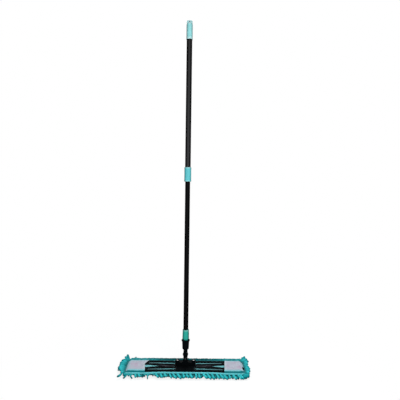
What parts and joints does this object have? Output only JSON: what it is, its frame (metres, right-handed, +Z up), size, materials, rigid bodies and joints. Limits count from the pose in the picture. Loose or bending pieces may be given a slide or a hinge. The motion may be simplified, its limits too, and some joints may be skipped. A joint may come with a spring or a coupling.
{
  "type": "chenille mop",
  "caption": "Flat floor mop with a telescopic twist-lock handle, two-way swivel, folding wing frame and a fringed chenille pad with end pockets.",
  "frame": {"origin": "on the floor under the middle of the pad, below the handle", "axes": "+Z up along the handle, +X along the head to the right, +Y away from the user"},
  "size_m": [0.5838, 0.1444, 1.5647],
  "materials": {
    "cyan_plastic": "satin moulded",
    "green_plastic": "satin moulded",
    "black_paint": "semi-gloss coat",
    "black_plastic": "moulded, satin",
    "pale_plastic": "moulded",
    "steel": "zinc plated",
    "pocket_cloth": "woven",
    "backing_cloth": "woven",
    "binding_cloth": "tape",
    "chenille": "plush"
  },
  "bodies": {
    "head": {"centre_plate": "black_plastic", "swivel_base": "black_plastic", "base_screws": "steel", "roll_pin": "steel", "left_hinge_pin": "steel", "right_hinge_pin": "steel", "left_detent_springs": "steel", "right_detent_springs": "steel", "pile_middle": "chenille", "backing_middle": "backing_cloth", "binding_middle": "binding_cloth"},
    "left_wing": {"left_wing": "black_plastic", "left_pocket": "pocket_cloth", "backing_left": "backing_cloth", "binding_left": "binding_cloth", "pile_left": "chenille"},
    "right_wing": {"right_wing": "black_plastic", "right_pocket": "pocket_cloth", "backing_right": "backing_cloth", "binding_right": "binding_cloth", "pile_right": "chenille"},
    "swivel": {"knuckle": "black_plastic"},
    "lower_handle": {"socket": "black_plastic", "tilt_pin": "steel", "handle_tip": "green_plastic", "tip_rivet": "steel", "lower_tube": "black_paint", "lock_plug": "pale_plastic"},
    "lock": {"lock_ring": "pale_plastic"},
    "upper_handle": {"upper_tube": "black_paint", "guide_bush": "pale_plastic", "lock_collar": "cyan_plastic", "hang_cap": "cyan_plastic"}
  },
  "joints": [
    {"name": "left_fold", "type": "hinge", "parent": "head", "child": "left_wing", "pos_m": [-0.045, 0, 0.026], "axis": [0, -1, 0], "range_deg": [0, 90], "deforming": ["pile_middle", "backing_middle", "binding_middle", "left_detent_springs"]},
    {"name": "right_fold", "type": "hinge", "parent": "head", "child": "right_wing", "pos_m": [0.045, 0, 0.026], "axis": [0, 1, 0], "range_deg": [0, 90], "deforming": ["pile_middle", "backing_middle", "binding_middle", "right_detent_springs"]},
    {"name": "swivel_roll", "type": "hinge", "parent": "head", "child": "swivel", "pos_m": [0, 0, 0.0619], "axis": [0, 1, 0], "range_deg": [-75, 75]},
    {"name": "swivel_tilt", "type": "hinge", "parent": "swivel", "child": "lower_handle", "pos_m": [0, 0, 0.0789], "axis": [1, 0, 0], "range_deg": [-80, 80]},
    {"name": "handle_twist", "type": "hinge", "parent": "lower_handle", "child": "lock", "pos_m": [0, 0, 0.965], "axis": [0, 0, 1], "range_deg": [0, 90]},
    {"name": "handle_slide", "type": "slide", "parent": "lock", "child": "upper_handle", "axis": [0, 0, -1], "range_m": [0, 0.55]}
  ]
}
